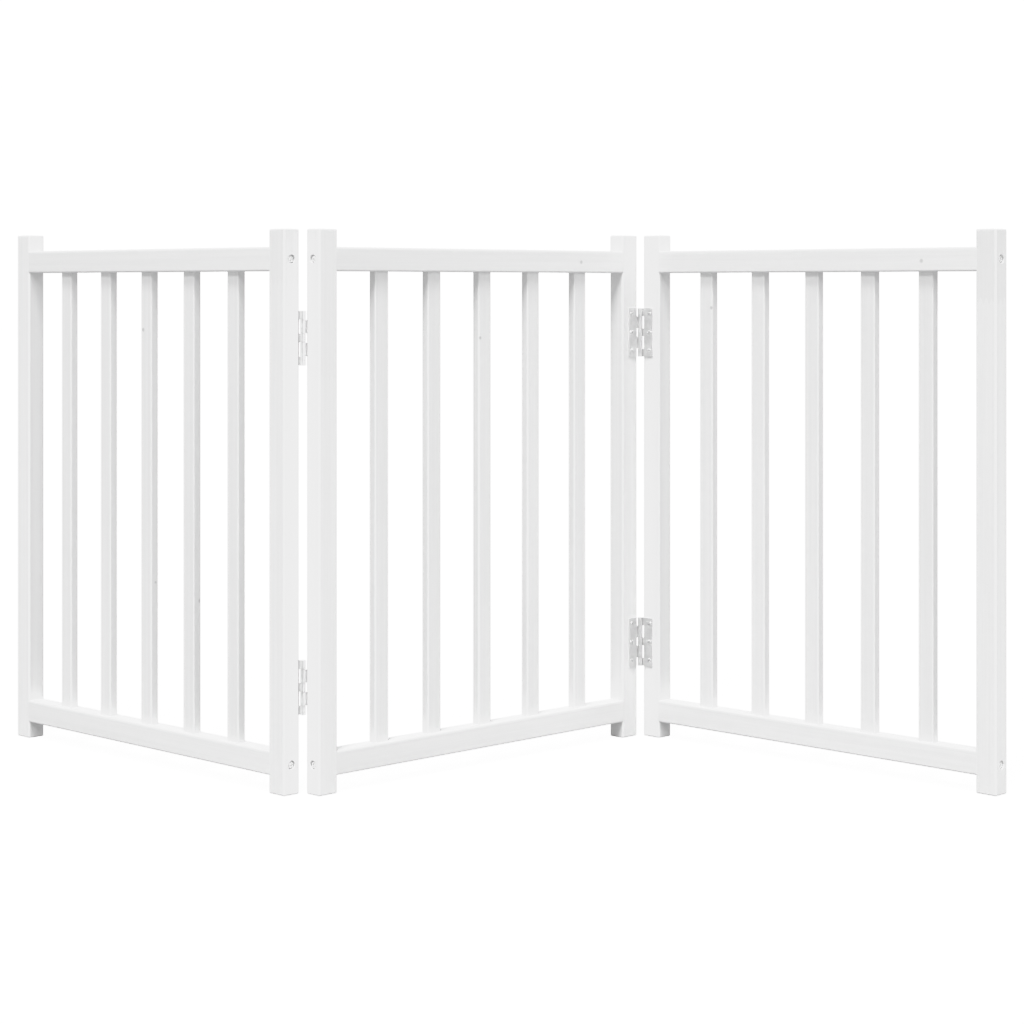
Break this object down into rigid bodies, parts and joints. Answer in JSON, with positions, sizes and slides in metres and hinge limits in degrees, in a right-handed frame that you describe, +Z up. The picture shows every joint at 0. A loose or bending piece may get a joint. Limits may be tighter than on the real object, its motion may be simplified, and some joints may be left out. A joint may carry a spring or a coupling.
{
  "type": "folding pet gate",
  "caption": "Free-standing folding pet gate of white painted wood: slatted panels joined by steel butt hinges, standing in a zigzag.",
  "frame": {"origin": "on the floor plane, under the centre of the middle panel, which is also the bottom centre of the gate's box as it stands", "axes": "+X along the gate from its left panel to its right panel, -Y towards its front, +Z up; at rest the panels stand at -45, +45 and -45 degrees to X"},
  "size_m": [1.1186, 0.3668, 0.6],
  "materials": {
    "painted_wood": "opaque white satin paint over fine-grained softwood, grain and small knots just showing",
    "hinge_steel": "light zinc-plated sheet steel, satin",
    "screw_steel": "bright zinc-plated screws"
  },
  "bodies": {
    "centre_panel": {"centre_panel_left_post": "painted_wood", "centre_panel_right_post": "painted_wood", "centre_panel_top_rail": "painted_wood", "centre_panel_bottom_rail": "painted_wood", "centre_panel_rail_screws": "screw_steel", "centre_panel_slat_1": "painted_wood", "centre_panel_slat_2": "painted_wood", "centre_panel_slat_3": "painted_wood", "centre_panel_slat_4": "painted_wood", "centre_panel_slat_5": "painted_wood", "left_upper_hinge_centre_leaf": "hinge_steel", "left_upper_hinge_centre_screws": "screw_steel", "left_lower_hinge_centre_leaf": "hinge_steel", "left_lower_hinge_centre_screws": "screw_steel", "right_upper_hinge_centre_leaf": "hinge_steel", "right_upper_hinge_centre_screws": "screw_steel", "right_lower_hinge_centre_leaf": "hinge_steel", "right_lower_hinge_centre_screws": "screw_steel"},
    "left_panel": {"left_panel_left_post": "painted_wood", "left_panel_right_post": "painted_wood", "left_panel_top_rail": "painted_wood", "left_panel_bottom_rail": "painted_wood", "left_panel_rail_screws": "screw_steel", "left_panel_slat_1": "painted_wood", "left_panel_slat_2": "painted_wood", "left_panel_slat_3": "painted_wood", "left_panel_slat_4": "painted_wood", "left_panel_slat_5": "painted_wood", "left_upper_hinge_outer_leaf": "hinge_steel", "left_upper_hinge_pin": "hinge_steel", "left_upper_hinge_outer_screws": "screw_steel", "left_lower_hinge_outer_leaf": "hinge_steel", "left_lower_hinge_pin": "hinge_steel", "left_lower_hinge_outer_screws": "screw_steel"},
    "right_panel": {"right_panel_left_post": "painted_wood", "right_panel_right_post": "painted_wood", "right_panel_top_rail": "painted_wood", "right_panel_bottom_rail": "painted_wood", "right_panel_rail_screws": "screw_steel", "right_panel_slat_1": "painted_wood", "right_panel_slat_2": "painted_wood", "right_panel_slat_3": "painted_wood", "right_panel_slat_4": "painted_wood", "right_panel_slat_5": "painted_wood", "right_upper_hinge_outer_leaf": "hinge_steel", "right_upper_hinge_pin": "hinge_steel", "right_upper_hinge_outer_screws": "screw_steel", "right_lower_hinge_outer_leaf": "hinge_steel", "right_lower_hinge_pin": "hinge_steel", "right_lower_hinge_outer_screws": "screw_steel"}
  },
  "joints": [
    {"name": "left_fold", "type": "hinge", "parent": "centre_panel", "child": "left_panel", "pos_m": [-0.18795, -0.16914, 0.3], "axis": [0, 0, 1], "range_deg": [-90, 100]},
    {"name": "right_fold", "type": "hinge", "parent": "centre_panel", "child": "right_panel", "pos_m": [0.18795, 0.16914, 0.3], "axis": [0, 0, 1], "range_deg": [-90, 100]}
  ]
}
